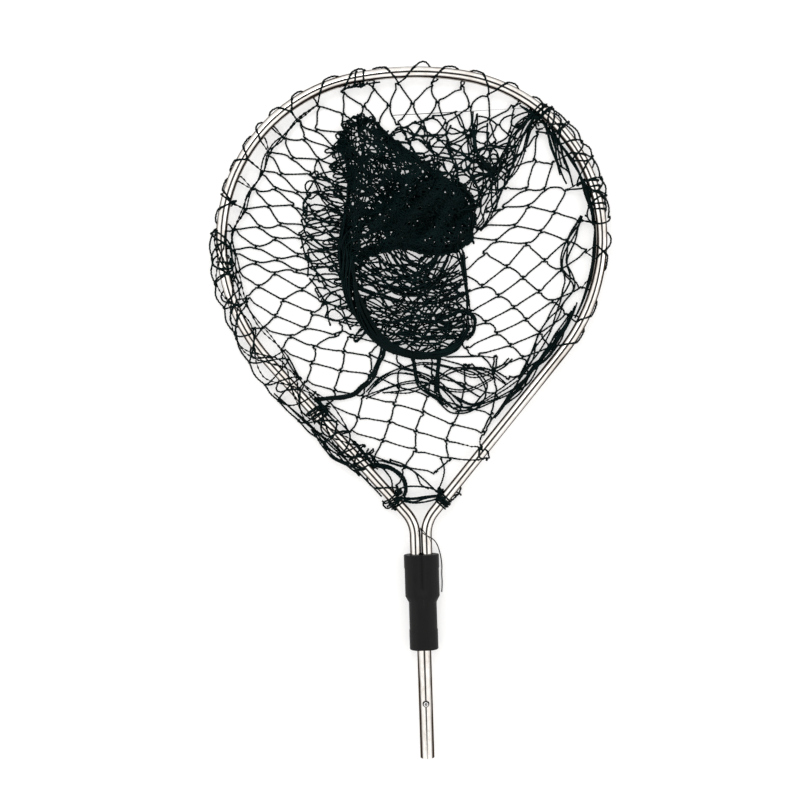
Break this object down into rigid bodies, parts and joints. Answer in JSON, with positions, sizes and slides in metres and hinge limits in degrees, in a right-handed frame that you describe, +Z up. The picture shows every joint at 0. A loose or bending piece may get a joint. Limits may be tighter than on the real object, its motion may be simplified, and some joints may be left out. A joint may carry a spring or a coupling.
{
  "type": "landing net",
  "caption": "Landing net: teardrop polished tube hoop with a knotted twine bag lashed to it, moulded yoke and a short snap-in spigot for a pole, lying flat.",
  "frame": {"origin": "on the surface the net lies on, under the middle of its length and width", "axes": "+Y along the net from the spigot to the far end of the hoop, +Z up out of the hoop's plane, +X to the right seen from above"},
  "size_m": [0.5042, 0.884, 0.031],
  "materials": {
    "polished_aluminium": "polished",
    "black_plastic": "satin moulded",
    "green_twine": "twisted twine",
    "black_string": "twisted string",
    "spring_steel": "spring steel",
    "button_steel": "bright"
  },
  "bodies": {
    "net": {"clip_base": "spring_steel", "fork_string": "black_string", "gathered_strand": "green_twine", "hoop_tube": "polished_aluminium", "lashing_bottom_left": "green_twine", "lashing_left_lower": "green_twine", "lashing_left_upper": "green_twine", "lashing_neck_left": "green_twine", "lashing_right_inner": "green_twine", "lashing_right_outer": "green_twine", "lashing_top_left": "green_twine", "lashing_top_right": "green_twine", "leg_pin_left": "spring_steel", "leg_pin_right": "spring_steel", "neck_strand": "green_twine", "neck_tie": "green_twine", "net_bunch": "green_twine", "net_skirt": "green_twine", "net_tail": "green_twine", "right_bundle": "green_twine", "rim_meshes": "green_twine", "spigot_pin": "spring_steel", "spigot_tube": "polished_aluminium", "yoke": "black_plastic"},
    "button": {"clip_arm": "spring_steel", "snap_button": "button_steel"}
  },
  "joints": [
    {"name": "button_press", "type": "hinge", "parent": "net", "child": "button", "pos_m": [0, -0.316, 0.00725], "axis": [1, 0, 0], "range_deg": [0, 3.8], "stiffness_Nm_per_rad": 1, "springref_deg": -8.59}
  ]
}
